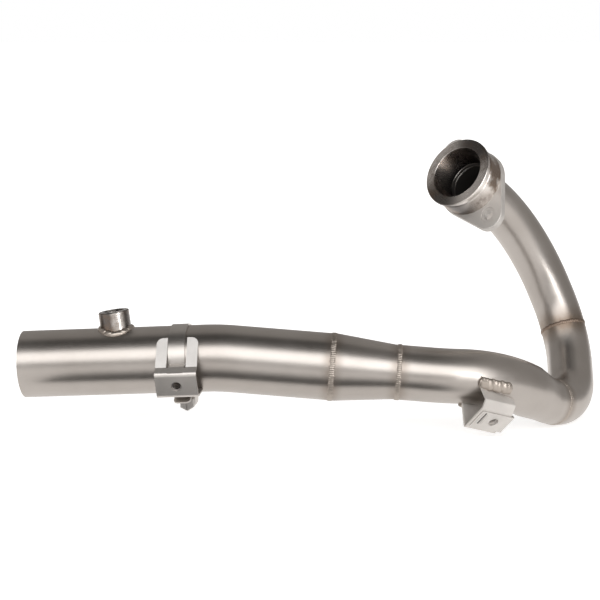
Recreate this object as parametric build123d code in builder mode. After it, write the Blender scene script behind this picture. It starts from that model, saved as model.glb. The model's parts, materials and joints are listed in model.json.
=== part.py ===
from build123d import *
import math
import os

os.makedirs("parts", exist_ok=True)

# Motorcycle exhaust header in millimetres, +Z up, +X forward, +Y to the far side.
# The origin is the centre of the collar's front face, where the gas enters.

# Two lengths are taken as equal within this
same_length = 0.01

# Tubes
wall = 1.2
slim_radius = 21.0
mid_radius = 24.5
wide_radius = 30.0

# Direction of the gas at the inlet
inlet_heading = 47.5
inlet_fall = 29.0

# Head pipe, from the collar to the first weld
inlet_run = 54.5
head_bend_radius = 125.0
head_bend_angle = 54.0
head_bend_roll_angle = 63.0
head_link_run = 10.0
knee_bend_radius = 82.0
head_knee_angle = 19.5
head_knee_roll_angle = -1.5
slim_weld_land = 3.0

# Elbow pipe, the tight turn at the front bottom
elbow_knee_angle = 25.5
elbow_run = 18.0
elbow_bend_radius = 42.0
elbow_bend_angle = 66.5
elbow_bend_roll_angle = 10.5

# Mid pipe, which swells to its own size and carries the welded bracket
mid_entry_angle = 16.5
swell_length = 22.0
mid_bend_radius = 120.0
mid_bend_angle = 34.0
mid_bend_roll_angle = 93.0
mid_link_run = 5.0
mid_set_radius = 110.0
mid_set_angle = 12.5
mid_set_roll_angle = -49.0
mid_exit_run = 28.0

# Reducer cone and outlet pipe
cone_length = 59.0
cone_land = 4.0
outlet_first_run = 88.0
outlet_bend_radius = 150.0
outlet_bend_angle = 9.5
outlet_bend_roll_angle = 57.0
outlet_last_run = 165.5

# Weld beads round the pipes
slim_bead_width = 5.0
wide_bead_width = 6.0
bead_height = 0.9

# Inlet collar, with depths measured back from its front face
collar_length = 40.0
tail_wall = 2.6
tail_radius = slim_radius + tail_wall
sleeve_wall = 6.5
sleeve_radius = slim_radius + sleeve_wall
sleeve_depth = 32.0
neck_step = 4.0
neck_radius = sleeve_radius + neck_step
neck_depth = 7.0
lip_step = 2.0
lip_radius = neck_radius + lip_step
lip_depth = 2.7
lip_bevel = 0.6
mouth_flare = 3.9
mouth_radius = slim_radius + mouth_flare
throat_depth = 22.0
socket_depth = 28.0
collar_fillet_leg = 2.4

# Loose head flange, which turns on the collar's sleeve
flange_clearance = 0.1
hub_wall = 4.4
hub_radius = sleeve_radius + flange_clearance + hub_wall
hub_bevel = 0.8
plate_depth = 24.0
plate_thickness = 6.5
plate_rim = 1.0
plate_radius = hub_radius + plate_rim
plate_edge = 0.6
stud_offset = 42.5
stud_hole_radius = 4.5
stud_seat_radius = 7.4
stud_seat_depth = 0.8
ear_radius = 14.5
ear_roll_angle = 44.0

# Sensor bung on the outlet pipe
bung_place = 77.0
bung_lean_angle = 5.0
bung_bore_radius = 8.3
bung_wall = 5.5
bung_radius = bung_bore_radius + bung_wall
bung_height = 15.8
bung_chamfer = 0.8
bung_mouth_chamfer = 1.2
bung_weld_reach = 3.0
bung_weld_height = 2.6

# Worm clamp round the outlet pipe: strap, its loose tail, housing and screw
clamp_place = 19.8
strap_width = 15.0
strap_shift = 1.0
strap_thickness = 1.4
tail_knee = 6.0
tail_reach = 18.0
tail_hang = 7.0
tail_drop = wide_radius + tail_hang
tail_corner = 4.0
screw_hang = 10.5
screw_drop = wide_radius + screw_hang
screw_radius = 4.2
screw_clearance = 0.1
housing_front = -5.0
housing_length = 16.0
housing_radius = 6.8
head_across_flats = 12.6
head_depth = 5.5
head_edge = 0.8
slot_width = 1.8
slot_depth = 2.4
screw_tail = 3.0

# Folded bracket that the clamp holds
sheet = 1.6
bracket_width = 37.0
ear_tangent_angle = 36.5
ear_rise = 5.0
ear_drop = 24.5
ear_gap = 17.4
ear_corner = 6.0
ledge_length = 7.2
ledge_slope_angle = 55.0
ledge_fold_radius = 0.8
fold_radius = 2.7
plate_lean_angle = 18.0
plate_drop = 21.4
return_rise_angle = 5.0
return_length = 34.0
tongue_width = 14.0
tongue_reach = 10.0
tongue_rise = 2.0
clamp_hole_radius = 4.6
clamp_hole_drop = 11.4
strap_clearance = 0.3

# Round nuts behind the bracket plates
nut_radius = 6.4
nut_bore_radius = 3.35
nut_depth = 7.0

# Bracket welded to the mid pipe, drawn in a plane whose x points away from the pipe.
# The ends of its front weld are measured from the pipe's surface on that x
shield_arc_angle = 23.4
shield_turn_angle = 20.7
shield_tip_angle = 39.5
shield_roll_angle = 21.3
shield_slide = 2.3
shield_length = 35.5
web_offset = 8.3
web_rise = 10.1
web_reach = mid_radius + web_rise
lip_rise = 4.9
lip_run = 8.0
base_width = 28.0
leg_root_depth = 10.5
leg_root_reach = mid_radius - leg_root_depth
leg_shift = 9.6
shield_fold_radius = 1.9
shield_hole_radius = 4.9
shield_hole_shift = 4.6
shield_hole_offset = 1.6
front_weld_radius = 4.3
front_weld_start = (-8.2, 10.4, 19.0)
front_weld_end = (-1.6, 14.4, -11.0)
rear_weld_radius = 2.6
rear_weld_depth = 8.0
rear_weld_reach = mid_radius - rear_weld_depth
rear_weld_offset = 20.8

# Clip nut pushed over the welded bracket's base
clip_sheet = 1.0
clip_width = 20.5
clip_overhang = 4.5
clip_inset = 2.3
clip_fold_radius = 1.4
clip_hole_radius = 4.6


def flow_axis(station):
    """The pipe's centre line at a station, along the flow."""
    across = Plane(station)
    return Axis(across.origin, across.z_dir)


def forward(station, length):
    """The station a straight length further along the flow."""
    return station * Location((0, 0, length))


def bent(station, radius, angle):
    """The station at the far end of a bend towards the station's x axis."""
    to_centre = Location((radius, 0, 0))
    back_again = Location((-radius, 0, 0))
    return station * to_centre * Location((0, 0, 0), (0, angle, 0)) * back_again


def rolled(station, angle):
    """The same station turned about the flow."""
    return station * Location((0, 0, 0), (0, 0, angle))


def side_plane(station):
    """A plane through the flow: its x is a radius and its y is a length along the flow."""
    return Plane(station * Location((0, 0, 0), (90, 0, 0)))


def level_plane(station):
    """A plane across the flow with x level towards the near side and y upwards."""
    flow = Plane(station).z_dir
    near = Vector(0, -1, 0)
    return Plane(origin=station.position, x_dir=near - flow * near.dot(flow), z_dir=flow)


def add_run(station, length, radius):
    """Adds a straight length of tube and returns the station at its end."""
    with BuildSketch(Plane(station)) as section:
        Circle(radius)
        Circle(radius - wall, mode=Mode.SUBTRACT)
    extrude(section.sketch, amount=length)
    return forward(station, length)


def add_bend(station, radius, bend_radius, angle):
    """Adds a bent length of tube and returns the station at its end."""
    across = Plane(station)
    centre = across.origin + across.x_dir * bend_radius
    with BuildSketch(across) as section:
        Circle(radius)
        Circle(radius - wall, mode=Mode.SUBTRACT)
    revolve(section.sketch, axis=Axis(centre, across.y_dir), revolution_arc=angle)
    return bent(station, bend_radius, angle)


def add_taper(station, length, start_radius, end_radius):
    """Adds a tapered length of tube and returns the station at its end."""
    with BuildSketch(side_plane(station)) as section:
        with BuildLine():
            Polyline(
                (start_radius - wall, 0),
                (start_radius, 0),
                (end_radius, length),
                (end_radius - wall, length),
                close=True,
            )
        make_face()
    revolve(section.sketch, axis=flow_axis(station))
    return forward(station, length)


def add_bead(station, radius, width):
    """Adds a weld bead round a pipe, with a rounded crown over the joint."""
    with BuildSketch(side_plane(station)) as section:
        with BuildLine():
            crown = ThreePointArc((radius, -width / 2), (radius + bead_height, 0), (radius, width / 2))
            Line(crown @ 1, crown @ 0)
        make_face()
    revolve(section.sketch, axis=flow_axis(station))


# The inlet station: its origin is the model's, its z is the gas flow
heading = math.radians(inlet_heading)
fall = math.radians(inlet_fall)
inlet = Plane(
    origin=(0, 0, 0),
    x_dir=(math.sin(heading), -math.cos(heading), 0),
    z_dir=(
        math.cos(fall) * math.cos(heading),
        math.cos(fall) * math.sin(heading),
        -math.sin(fall),
    ),
).location

# Inlet collar: lip, neck, sleeve and tail outside; conical mouth, throat and tube socket inside
slim_bore = slim_radius - wall
with BuildPart() as inlet_collar:
    with BuildSketch(side_plane(inlet)) as collar_section:
        with BuildLine():
            Polyline(
                (mouth_radius, 0),
                (lip_radius - lip_bevel, 0),
                (lip_radius, lip_bevel),
                (lip_radius, lip_depth),
                (neck_radius, lip_depth),
                (neck_radius, neck_depth),
                (sleeve_radius, neck_depth),
                (sleeve_radius, sleeve_depth),
                (tail_radius, collar_length),
                (slim_radius, collar_length),
                (slim_radius, socket_depth),
                (slim_bore, socket_depth),
                (slim_bore, throat_depth),
                close=True,
            )
        make_face()
    revolve(collar_section.sketch, axis=flow_axis(inlet))
inlet_collar.part.label = "inlet_collar"
export_step(inlet_collar.part, "parts/inlet_collar.step")

# Fillet weld between the collar's tail and the head pipe
with BuildPart() as collar_weld:
    with BuildSketch(side_plane(forward(inlet, collar_length))) as weld_section:
        with BuildLine():
            toe = Line((slim_radius, 0), (slim_radius + collar_fillet_leg, 0))
            throat_face = RadiusArc(toe @ 1, (slim_radius, collar_fillet_leg), -collar_fillet_leg)
            Line(throat_face @ 1, toe @ 0)
        make_face()
    revolve(weld_section.sketch, axis=flow_axis(inlet))
collar_weld.part.label = "collar_weld"
export_step(collar_weld.part, "parts/collar_weld.step")

# Loose head flange: turned hub and a plate with two stud ears
flange_station = rolled(inlet, ear_roll_angle)
plate_front = forward(flange_station, plate_depth)
hub_front = forward(flange_station, neck_depth + flange_clearance)
hub_length = plate_depth - neck_depth - flange_clearance
with BuildPart() as head_flange:
    with BuildSketch(Plane(plate_front)) as plate_outline:
        Circle(plate_radius)
        with Locations((stud_offset, 0), (-stud_offset, 0)):
            Circle(ear_radius)
        make_hull()
    extrude(plate_outline.sketch, amount=plate_thickness)
    chamfer(head_flange.edges(), length=plate_edge)
    with BuildSketch(Plane(hub_front)) as hub_outline:
        Circle(hub_radius)
    extrude(hub_outline.sketch, amount=hub_length)
    front_rim = head_flange.faces().sort_by(flow_axis(inlet))[0].edges()
    chamfer(front_rim, length=hub_bevel)
    with BuildSketch(Plane(hub_front)) as bore_outline:
        Circle(sleeve_radius + flange_clearance)
    extrude(bore_outline.sketch, amount=hub_length + plate_thickness, mode=Mode.SUBTRACT)
    with BuildSketch(Plane(plate_front)) as stud_holes:
        with Locations((stud_offset, 0), (-stud_offset, 0)):
            Circle(stud_hole_radius)
    extrude(stud_holes.sketch, amount=plate_thickness, mode=Mode.SUBTRACT)
    with BuildSketch(Plane(plate_front)) as stud_seats:
        with Locations((stud_offset, 0), (-stud_offset, 0)):
            Circle(stud_seat_radius)
    extrude(stud_seats.sketch, amount=stud_seat_depth, mode=Mode.SUBTRACT)
head_flange.part.label = "head_flange"
export_step(head_flange.part, "parts/head_flange.step")

# Head pipe, from the bottom of the collar's socket to the first weld
with BuildPart() as head_pipe:
    at = add_run(forward(inlet, socket_depth), inlet_run - socket_depth, slim_radius)
    at = add_bend(rolled(at, head_bend_roll_angle), slim_radius, head_bend_radius, head_bend_angle)
    at = add_run(at, head_link_run, slim_radius)
    at = add_bend(rolled(at, head_knee_roll_angle), slim_radius, knee_bend_radius, head_knee_angle)
    elbow_start = add_run(at, slim_weld_land, slim_radius)
head_pipe.part.label = "head_pipe"
export_step(head_pipe.part, "parts/head_pipe.step")

with BuildPart() as elbow_weld:
    add_bead(elbow_start, slim_radius, slim_bead_width)
elbow_weld.part.label = "elbow_weld"
export_step(elbow_weld.part, "parts/elbow_weld.step")

# Elbow pipe
with BuildPart() as elbow_pipe:
    at = add_run(elbow_start, slim_weld_land, slim_radius)
    at = add_bend(at, slim_radius, knee_bend_radius, elbow_knee_angle)
    at = add_run(at, elbow_run, slim_radius)
    at = add_bend(rolled(at, elbow_bend_roll_angle), slim_radius, elbow_bend_radius, elbow_bend_angle)
    mid_start = add_run(at, slim_weld_land, slim_radius)
elbow_pipe.part.label = "elbow_pipe"
export_step(elbow_pipe.part, "parts/elbow_pipe.step")

with BuildPart() as mid_weld:
    add_bead(mid_start, slim_radius, slim_bead_width)
mid_weld.part.label = "mid_weld"
export_step(mid_weld.part, "parts/mid_weld.step")

# Mid pipe
with BuildPart() as mid_pipe:
    at = add_run(mid_start, slim_weld_land, slim_radius)
    at = add_bend(at, slim_radius, elbow_bend_radius, mid_entry_angle)
    at = add_taper(at, swell_length, slim_radius, mid_radius)
    mid_bend_start = rolled(at, mid_bend_roll_angle)
    at = add_bend(mid_bend_start, mid_radius, mid_bend_radius, mid_bend_angle)
    at = add_run(at, mid_link_run, mid_radius)
    at = add_bend(rolled(at, mid_set_roll_angle), mid_radius, mid_set_radius, mid_set_angle)
    cone_start = add_run(at, mid_exit_run, mid_radius)
mid_pipe.part.label = "mid_pipe"
export_step(mid_pipe.part, "parts/mid_pipe.step")

with BuildPart() as cone_weld:
    add_bead(cone_start, mid_radius, slim_bead_width)
cone_weld.part.label = "cone_weld"
export_step(cone_weld.part, "parts/cone_weld.step")

# Reducer cone, with a short straight land at each weld
with BuildPart() as reducer_cone:
    at = add_run(cone_start, cone_land, mid_radius)
    at = add_taper(at, cone_length - 2 * cone_land, mid_radius, wide_radius)
    outlet_start = add_run(at, cone_land, wide_radius)
reducer_cone.part.label = "reducer_cone"
export_step(reducer_cone.part, "parts/reducer_cone.step")

with BuildPart() as outlet_weld:
    add_bead(outlet_start, wide_radius, wide_bead_width)
outlet_weld.part.label = "outlet_weld"
export_step(outlet_weld.part, "parts/outlet_weld.step")

# Stations on the outlet pipe's last run
last_run_start = bent(
    rolled(forward(outlet_start, outlet_first_run), outlet_bend_roll_angle),
    outlet_bend_radius,
    outlet_bend_angle,
)
bung_level = level_plane(forward(last_run_start, bung_place))
lean = math.radians(bung_lean_angle)
bung_axis = bung_level.y_dir * math.cos(lean) + bung_level.z_dir * math.sin(lean)
bung_seat = Plane(origin=bung_level.origin, x_dir=bung_level.x_dir, z_dir=bung_axis)
bung_top = wide_radius + bung_height

# Outlet pipe, with the sensor's hole through its crown
with BuildPart() as outlet_pipe:
    at = add_run(outlet_start, outlet_first_run, wide_radius)
    at = add_bend(rolled(at, outlet_bend_roll_angle), wide_radius, outlet_bend_radius, outlet_bend_angle)
    add_run(at, outlet_last_run, wide_radius)
    with BuildSketch(bung_seat) as sensor_hole:
        Circle(bung_bore_radius)
    extrude(sensor_hole.sketch, amount=bung_top, mode=Mode.SUBTRACT)
outlet_pipe.part.label = "outlet_pipe"
export_step(outlet_pipe.part, "parts/outlet_pipe.step")

# Sensor bung, coped to the pipe
with BuildPart() as sensor_bung:
    with BuildSketch(bung_seat) as bung_outline:
        Circle(bung_radius)
    extrude(bung_outline.sketch, amount=bung_top)
    chamfer(sensor_bung.faces().sort_by(Axis(bung_seat.origin, bung_axis))[-1].edges(), length=bung_chamfer)
    with BuildSketch(bung_seat) as bung_bore:
        Circle(bung_bore_radius)
    extrude(bung_bore.sketch, amount=bung_top, mode=Mode.SUBTRACT)
    bore_rims = sensor_bung.edges().filter_by(GeomType.CIRCLE).sort_by(Axis(bung_seat.origin, bung_axis))
    mouth_rim = bore_rims.filter_by(lambda rim: abs(rim.radius - bung_bore_radius) < same_length)[-1]
    chamfer(mouth_rim, length=bung_mouth_chamfer)
    with BuildSketch(bung_level) as pipe_clearance:
        Circle(wide_radius)
    extrude(pipe_clearance.sketch, amount=2 * bung_radius, both=True, mode=Mode.SUBTRACT)
sensor_bung.part.label = "sensor_bung"
export_step(sensor_bung.part, "parts/sensor_bung.step")

# Weld round the bung, a saddle-shaped bead that follows the pipe
with BuildPart() as bung_weld:
    with BuildSketch(bung_seat) as bead_outline:
        Circle(bung_radius + bung_weld_reach)
        Circle(bung_radius, mode=Mode.SUBTRACT)
    extrude(bead_outline.sketch, amount=bung_top)
    with BuildSketch(bung_level) as bead_crown:
        Circle(wide_radius + bung_weld_height)
    extrude(bead_crown.sketch, amount=2 * bung_radius, both=True, mode=Mode.INTERSECT)
    with BuildSketch(bung_level) as bead_seat:
        Circle(wide_radius)
    extrude(bead_seat.sketch, amount=2 * bung_radius, both=True, mode=Mode.SUBTRACT)
bung_weld.part.label = "bung_weld"
export_step(bung_weld.part, "parts/bung_weld.step")

# Planes of the clamp: across the pipe, and along its screw from the near side
clamp_level = level_plane(forward(last_run_start, clamp_place))
strap_level = clamp_level.offset(strap_shift)
strap_radius = wide_radius + strap_thickness
screw_plane = Plane(
    origin=clamp_level.origin - clamp_level.y_dir * screw_drop,
    x_dir=clamp_level.z_dir,
    z_dir=-clamp_level.x_dir,
)
housing_start = screw_plane.offset(-housing_front)

# Clamp strap: a closed band whose loose end springs away below the pipe
with BuildPart() as clamp_strap:
    with BuildSketch(strap_level) as strap_section:
        with BuildLine():
            Polyline((0, -strap_radius), (tail_knee, -strap_radius), (tail_reach, -tail_drop))
            offset(amount=strap_thickness, side=Side.LEFT)
        make_face()
        Circle(strap_radius)
        Circle(wide_radius, mode=Mode.SUBTRACT)
    extrude(strap_section.sketch, amount=strap_width / 2, both=True)
    tail_ends = clamp_strap.edges().sort_by(Axis(clamp_level.origin, clamp_level.y_dir))
    tail_corners = tail_ends.filter_by(lambda edge: abs(edge.length - strap_thickness) < same_length)[:2]
    fillet(tail_corners, radius=tail_corner)
clamp_strap.part.label = "clamp_strap"
export_step(clamp_strap.part, "parts/clamp_strap.step")

# Worm housing under the strap, bored for the screw
with BuildPart() as clamp_housing:
    with BuildSketch(housing_start) as housing_section:
        Circle(housing_radius)
        with Locations((0, screw_drop / 2)):
            Rectangle(2 * housing_radius, screw_drop)
        Circle(screw_radius + screw_clearance, mode=Mode.SUBTRACT)
    extrude(housing_section.sketch, amount=housing_length)
    with BuildSketch(clamp_level) as strap_seat:
        Circle(strap_radius)
    extrude(strap_seat.sketch, amount=strap_width, both=True, mode=Mode.SUBTRACT)
clamp_housing.part.label = "clamp_housing"
export_step(clamp_housing.part, "parts/clamp_housing.step")

# Worm screw with a slotted hexagon head
with BuildPart() as clamp_screw:
    with BuildSketch(housing_start) as head_outline:
        RegularPolygon(head_across_flats / 2, 6, major_radius=False, rotation=30)
    extrude(head_outline.sketch, amount=-head_depth)
    head_face = clamp_screw.faces().sort_by(Axis(screw_plane.origin, screw_plane.z_dir))[0]
    chamfer(head_face.edges(), length=head_edge)
    with BuildSketch(housing_start.offset(-head_depth)) as slot_outline:
        Rectangle(slot_width, 2 * head_across_flats)
    extrude(slot_outline.sketch, amount=slot_depth, mode=Mode.SUBTRACT)
    with BuildSketch(housing_start) as shank_outline:
        Circle(screw_radius)
    extrude(shank_outline.sketch, amount=housing_length + screw_tail)
clamp_screw.part.label = "clamp_screw"
export_step(clamp_screw.part, "parts/clamp_screw.step")

# Corners of the clamp bracket's fold line, drawn across the pipe from the near side
tangent = math.radians(ear_tangent_angle)
slope = math.radians(ledge_slope_angle)
tilt = math.radians(plate_lean_angle)
rise = math.radians(return_rise_angle)
ear_touch = Vector(wide_radius * math.cos(tangent), wide_radius * math.sin(tangent))
down_ear = Vector(math.sin(tangent), -math.cos(tangent))
down_plate = Vector(-math.sin(tilt), -math.cos(tilt))
ear_top = ear_touch - down_ear * ear_rise
ear_root = ear_touch + down_ear * ear_drop
ledge_end = ear_root + Vector(math.sin(slope), -math.cos(slope)) * ledge_length
plate_end = ledge_end + down_plate * plate_drop
return_end = plate_end + Vector(-math.cos(rise), math.sin(rise)) * return_length
tongue_end = ear_root + Vector(-tongue_reach, tongue_rise)
nut_seat = ledge_end + down_plate * clamp_hole_drop


def in_space(plane, point):
    """A sketch point of a plane as a point of the model."""
    return plane.origin + plane.x_dir * point.X + plane.y_dir * point.Y


# Planes of the ears and of the front plate, each with its z pointing towards the pipe
ear_plane = Plane(
    origin=in_space(clamp_level, ear_root),
    x_dir=clamp_level.z_dir,
    z_dir=in_space(clamp_level, Vector(0, 0)) - in_space(clamp_level, ear_touch),
)
front_plate_plane = Plane(
    origin=in_space(clamp_level, nut_seat),
    x_dir=clamp_level.z_dir,
    z_dir=clamp_level.x_dir * -math.cos(tilt) + clamp_level.y_dir * math.sin(tilt),
)

# Clamp bracket: one folded sheet with two ears, a ledge, a front plate and a return
with BuildPart() as clamp_bracket:
    with BuildSketch(clamp_level) as bracket_profile:
        with BuildLine():
            FilletPolyline(
                (ear_top.X, ear_top.Y),
                (ear_root.X, ear_root.Y),
                (ledge_end.X, ledge_end.Y),
                (plate_end.X, plate_end.Y),
                (return_end.X, return_end.Y),
                radius=[ledge_fold_radius + sheet, fold_radius, fold_radius],
            )
            offset(amount=sheet, side=Side.LEFT)
        make_face()
    extrude(bracket_profile.sketch, amount=bracket_width / 2, both=True)
    with BuildSketch(ear_plane) as ear_slot:
        Rectangle(ear_gap, 2 * (ear_drop + ear_rise + sheet), align=(Align.CENTER, Align.MIN))
    extrude(ear_slot.sketch, amount=3 * sheet, both=True, mode=Mode.SUBTRACT)
    with BuildSketch(clamp_level) as tongue_profile:
        with BuildLine():
            Polyline((tongue_end.X, tongue_end.Y), (ear_root.X, ear_root.Y), (ledge_end.X, ledge_end.Y))
            offset(amount=sheet, side=Side.LEFT)
        make_face()
    extrude(tongue_profile.sketch, amount=tongue_width / 2, both=True)
    with BuildSketch(clamp_level) as pipe_room:
        Circle(wide_radius)
    extrude(pipe_room.sketch, amount=bracket_width, both=True, mode=Mode.SUBTRACT)
    with BuildSketch(strap_level) as strap_room:
        Circle(strap_radius)
    extrude(strap_room.sketch, amount=strap_width / 2 + strap_clearance, both=True, mode=Mode.SUBTRACT)
    with BuildSketch(front_plate_plane) as plate_hole:
        Circle(clamp_hole_radius)
    extrude(plate_hole.sketch, amount=-2 * sheet, mode=Mode.SUBTRACT)
    sheet_edges = clamp_bracket.edges().filter_by(lambda edge: abs(edge.length - sheet) < same_length)
    top_edges = sheet_edges.sort_by(Axis(clamp_level.origin, clamp_level.y_dir))[-4:]
    outer_edges = top_edges.sort_by(Axis(clamp_level.origin, clamp_level.z_dir))
    fillet([outer_edges[0], outer_edges[-1]], radius=ear_corner)
clamp_bracket.part.label = "clamp_bracket"
export_step(clamp_bracket.part, "parts/clamp_bracket.step")

with BuildPart() as clamp_bracket_nut:
    with BuildSketch(front_plate_plane) as nut_outline:
        Circle(nut_radius)
        Circle(nut_bore_radius, mode=Mode.SUBTRACT)
    extrude(nut_outline.sketch, amount=nut_depth)
clamp_bracket_nut.part.label = "clamp_bracket_nut"
export_step(clamp_bracket_nut.part, "parts/clamp_bracket_nut.step")

# Plane of the welded bracket: x points away from the pipe, z back along the bracket
shield_station = bent(mid_bend_start, mid_bend_radius, shield_arc_angle)
turn = math.radians(shield_turn_angle)
tip = math.radians(shield_tip_angle)
outward = Vector(math.sin(turn) * math.cos(tip), -math.cos(turn) * math.cos(tip), -math.sin(tip))
level = Vector(math.cos(turn), math.sin(turn), 0)
shield_plane = Plane(
    Plane(origin=shield_station.position, x_dir=outward, z_dir=-level).location
    * Location((0, 0, shield_slide), (-shield_roll_angle, 0, 0))
)
base_reach = web_reach + lip_rise
base_start = web_offset - lip_run
base_end = base_start - base_width
leg_root = base_end + leg_shift
base_middle = (base_start + base_end) / 2 + shield_hole_offset
base_plane = Plane(
    origin=in_space(shield_plane, Vector(base_reach, base_middle)) - shield_plane.z_dir * shield_hole_shift,
    x_dir=-shield_plane.z_dir,
    z_dir=shield_plane.x_dir,
)
weld_start = Vector(mid_radius, 0, 0) + Vector(*front_weld_start)
weld_end = Vector(mid_radius, 0, 0) + Vector(*front_weld_end)
weld_line = weld_end - weld_start
front_weld_plane = Plane(shield_plane.location * Plane(origin=weld_start, z_dir=weld_line).location)


def cut_bend(station, bend_radius, angle):
    """Takes the mid pipe's outer shape in one bend out of the piece being made."""
    across = Plane(station)
    centre = across.origin + across.x_dir * bend_radius
    with BuildSketch(across) as pipe_face:
        Circle(mid_radius)
    revolve(
        pipe_face.sketch,
        axis=Axis(centre, across.y_dir),
        revolution_arc=angle,
        mode=Mode.SUBTRACT,
    )


def cut_mid_pipe():
    """Takes the mid pipe's two bends and the run between them out of the piece being made."""
    link_start = bent(mid_bend_start, mid_bend_radius, mid_bend_angle)
    cut_bend(mid_bend_start, mid_bend_radius, mid_bend_angle)
    with BuildSketch(Plane(link_start)) as link_face:
        Circle(mid_radius)
    extrude(link_face.sketch, amount=mid_link_run, mode=Mode.SUBTRACT)
    cut_bend(rolled(forward(link_start, mid_link_run), mid_set_roll_angle), mid_set_radius, mid_set_angle)


# Welded bracket: a folded channel with a web, a bevelled lip, a base and a slanted leg
with BuildPart() as shield_bracket:
    with BuildSketch(shield_plane) as channel_profile:
        with BuildLine():
            FilletPolyline(
                (leg_root_reach, web_offset),
                (web_reach, web_offset),
                (base_reach, base_start),
                (base_reach, base_end),
                (leg_root_reach, leg_root),
                radius=shield_fold_radius,
            )
            offset(amount=sheet, side=Side.RIGHT)
        make_face()
    extrude(channel_profile.sketch, amount=shield_length / 2, both=True)
    cut_mid_pipe()
    with BuildSketch(base_plane) as base_hole:
        Circle(shield_hole_radius)
    extrude(base_hole.sketch, amount=-2 * sheet, mode=Mode.SUBTRACT)
shield_bracket.part.label = "shield_bracket"
export_step(shield_bracket.part, "parts/shield_bracket.step")

# Weld beads along the welded bracket's two feet
with BuildPart() as shield_weld_front:
    with BuildSketch(front_weld_plane) as front_weld_section:
        Circle(front_weld_radius)
    extrude(front_weld_section.sketch, amount=weld_line.length)
    cut_mid_pipe()
    add(shield_bracket.part, mode=Mode.SUBTRACT)
shield_weld_front.part.label = "shield_weld_front"
export_step(shield_weld_front.part, "parts/shield_weld_front.step")

with BuildPart() as shield_weld_rear:
    with BuildSketch(shield_plane) as rear_weld_section:
        with Locations((rear_weld_reach, -rear_weld_offset)):
            Circle(rear_weld_radius)
    extrude(rear_weld_section.sketch, amount=shield_length / 2, both=True)
    cut_mid_pipe()
    add(shield_bracket.part, mode=Mode.SUBTRACT)
shield_weld_rear.part.label = "shield_weld_rear"
export_step(shield_weld_rear.part, "parts/shield_weld_rear.step")

# Clip nut: a sheet folded over the base's open end, with a threaded barrel inside
clip_outer = clip_sheet
clip_inner = -sheet - clip_sheet
clip_start = -shield_length / 2 + clip_inset - shield_hole_shift
clip_end = shield_length / 2 + clip_overhang - shield_hole_shift
clip_side = Plane(origin=base_plane.origin, x_dir=base_plane.x_dir, z_dir=-base_plane.y_dir)
with BuildPart() as shield_clip_nut:
    with BuildSketch(clip_side) as clip_profile:
        with BuildLine():
            FilletPolyline(
                (clip_start, clip_outer),
                (clip_end, clip_outer),
                (clip_end, clip_inner),
                (clip_start, clip_inner),
                radius=clip_fold_radius,
            )
            offset(amount=clip_sheet, side=Side.RIGHT)
        make_face()
    extrude(clip_profile.sketch, amount=clip_width / 2, both=True)
    with BuildSketch(base_plane.offset(clip_inner)) as barrel_outline:
        Circle(nut_radius)
    extrude(barrel_outline.sketch, amount=-(nut_depth - clip_sheet))
    with BuildSketch(base_plane) as barrel_bore:
        Circle(nut_bore_radius)
    extrude(barrel_bore.sketch, amount=-(nut_depth + sheet), mode=Mode.SUBTRACT)
    with BuildSketch(base_plane) as clip_hole:
        Circle(clip_hole_radius)
    extrude(clip_hole.sketch, amount=clip_outer, mode=Mode.SUBTRACT)
shield_clip_nut.part.label = "shield_clip_nut"
export_step(shield_clip_nut.part, "parts/shield_clip_nut.step")
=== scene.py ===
# %% [markdown]
# # Motorcycle exhaust header
# A header carries the hot gas of one cylinder from the head to the silencer. This one
# is five welded tubes with a turned collar, a loose stud flange, a sensor boss, a worm
# clamp and two folded brackets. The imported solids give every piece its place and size.
# This lesson dresses them: the tubes are swept again with fine, even rings, the welds
# get their ripples, and every other piece keeps its solid's shape with softened edges.
# All lengths are in metres, in the same frame as the solids.

# %% Load the frame
import json
import math

import bpy
from mathutils import Matrix, Vector


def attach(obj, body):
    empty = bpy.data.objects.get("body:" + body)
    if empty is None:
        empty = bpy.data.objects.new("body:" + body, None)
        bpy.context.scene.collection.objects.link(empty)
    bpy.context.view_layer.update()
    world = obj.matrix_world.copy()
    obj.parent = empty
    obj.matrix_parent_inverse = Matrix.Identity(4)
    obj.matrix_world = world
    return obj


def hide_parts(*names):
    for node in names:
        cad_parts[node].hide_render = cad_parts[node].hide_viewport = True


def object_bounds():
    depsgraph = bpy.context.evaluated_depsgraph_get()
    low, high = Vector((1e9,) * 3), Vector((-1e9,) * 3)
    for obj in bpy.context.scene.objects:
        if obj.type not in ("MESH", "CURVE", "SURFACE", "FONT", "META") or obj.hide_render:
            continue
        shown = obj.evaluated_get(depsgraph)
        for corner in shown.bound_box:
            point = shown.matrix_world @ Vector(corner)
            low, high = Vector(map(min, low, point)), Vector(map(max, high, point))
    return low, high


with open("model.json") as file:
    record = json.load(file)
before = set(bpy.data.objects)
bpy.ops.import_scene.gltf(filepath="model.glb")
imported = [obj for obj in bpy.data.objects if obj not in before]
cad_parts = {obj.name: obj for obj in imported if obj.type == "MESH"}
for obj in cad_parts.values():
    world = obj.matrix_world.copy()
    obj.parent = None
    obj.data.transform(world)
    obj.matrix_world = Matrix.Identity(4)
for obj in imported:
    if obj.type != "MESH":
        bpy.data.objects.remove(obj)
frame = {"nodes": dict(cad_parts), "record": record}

MM = 0.001
HEADER = "header"
FLANGE = "flange"

solid_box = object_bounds()
print("solids span", [[round(value, 4) for value in corner] for corner in solid_box])

# %% [markdown]
# ## The stations along the pipe
# A header is bent from straight tube, so its middle line has only straight runs and
# round bends. The line could be drawn as a curve object, but a walk from step to step
# keeps every run and bend exact. A station is a place on that line: its z points along
# the gas flow, and its x towards the centre of the next bend. The tubes, the welds, the
# boss and the heat colours all take their places from the same stations.

# %% From one station to the next
def turned(station, axis, degrees):
    """The station turned about one of its own axes."""
    return station @ Matrix.Rotation(math.radians(degrees), 4, axis)


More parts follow.
